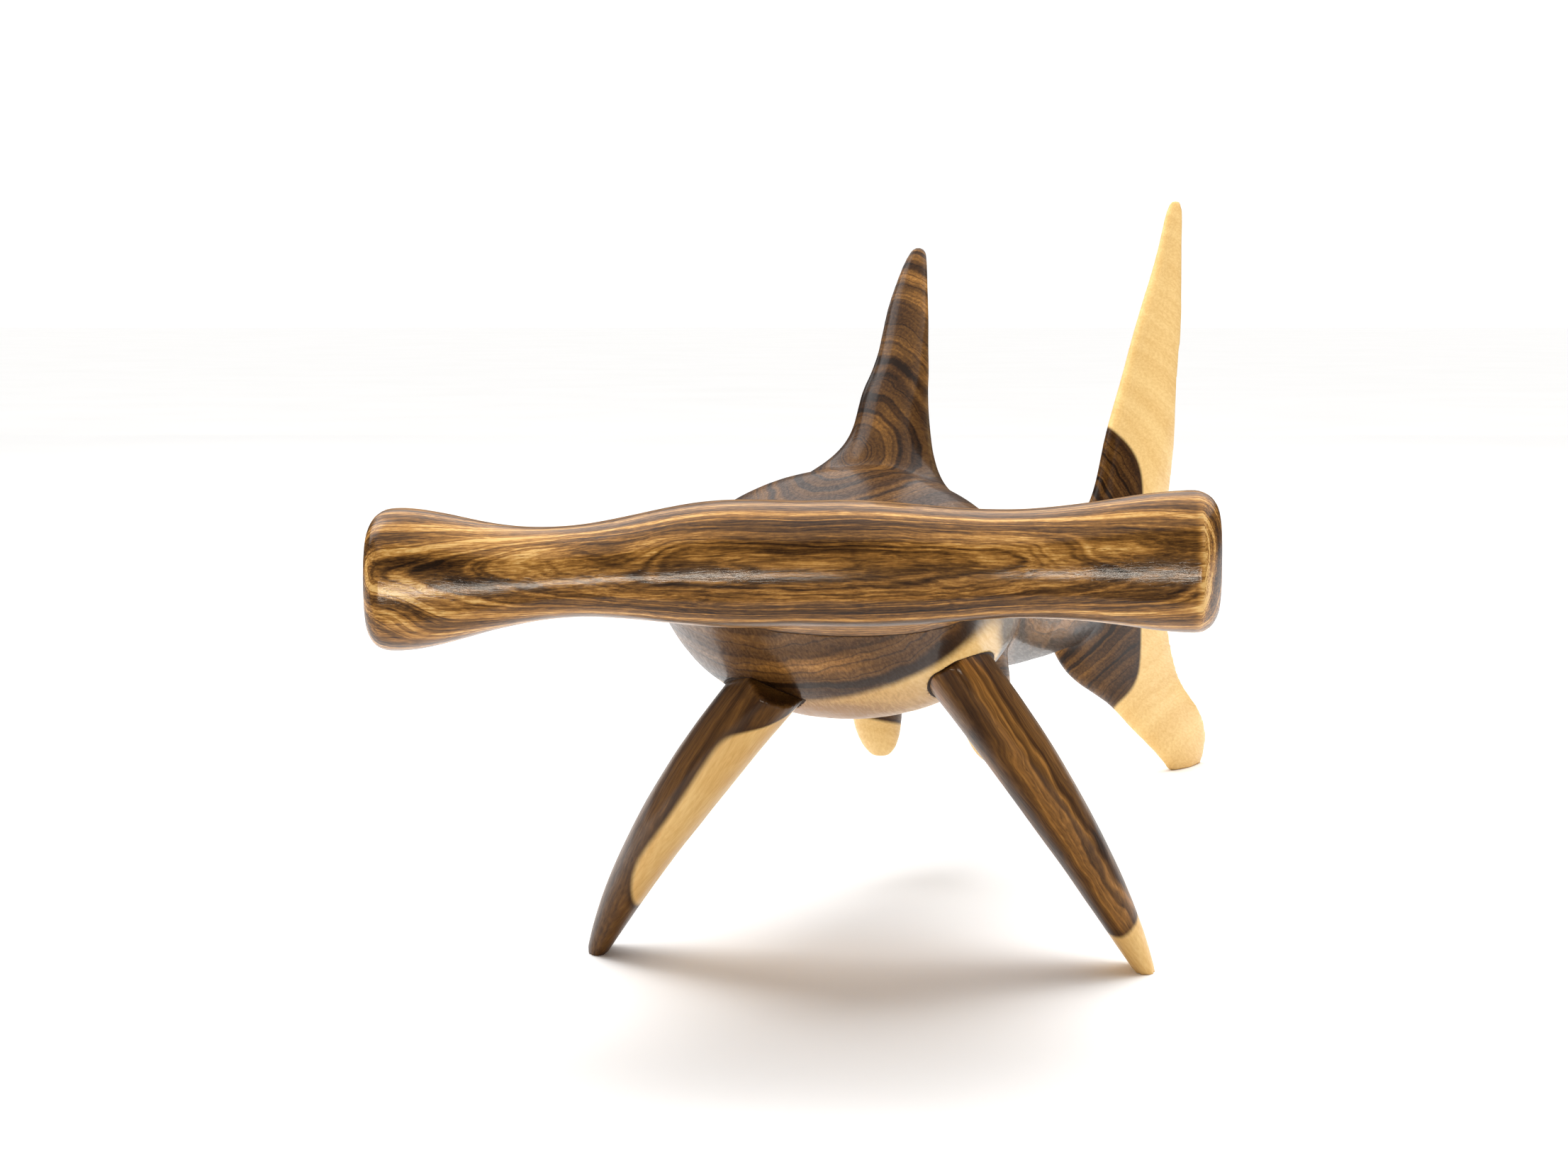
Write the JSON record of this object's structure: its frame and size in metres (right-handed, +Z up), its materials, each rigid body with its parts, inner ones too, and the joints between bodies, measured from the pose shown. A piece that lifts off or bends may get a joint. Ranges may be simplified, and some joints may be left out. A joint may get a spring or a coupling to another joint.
{
  "type": "carved wooden shark figure",
  "caption": "Hand-carved hammerhead shark figure in polished two-tone hardwood, standing on its pectoral fin tips and the lower lobe of its tail.",
  "frame": {"origin": "on the floor, under the middle of the figure's bounding box", "axes": "+Z up, the hammer head towards -Y, the tail towards +Y and swinging to +X, the shark's own right side towards -X"},
  "size_m": [0.1358, 0.2398, 0.1126],
  "materials": {
    "hammer_wood": "polished, medium brown with golden streaks and fine dark lines along the bar",
    "body_wood": "polished, dark brown heartwood with pale yellow sapwood on the belly, one flank and the tail's edges",
    "fin_wood": "polished, mottled brown and pale gold",
    "dowel_wood": "plain pale dowel, unfinished",
    "glue": "dark glue film"
  },
  "bodies": {
    "root": {"head": "hammer_wood", "body": "body_wood", "right_pectoral_fin": "fin_wood", "left_pectoral_fin": "fin_wood", "right_head_dowel": "dowel_wood", "left_head_dowel": "dowel_wood", "right_fin_dowel": "dowel_wood", "left_fin_dowel": "dowel_wood", "head_glue_line": "glue", "right_fin_glue_line": "glue", "left_fin_glue_line": "glue"}
  },
  "joints": []
}
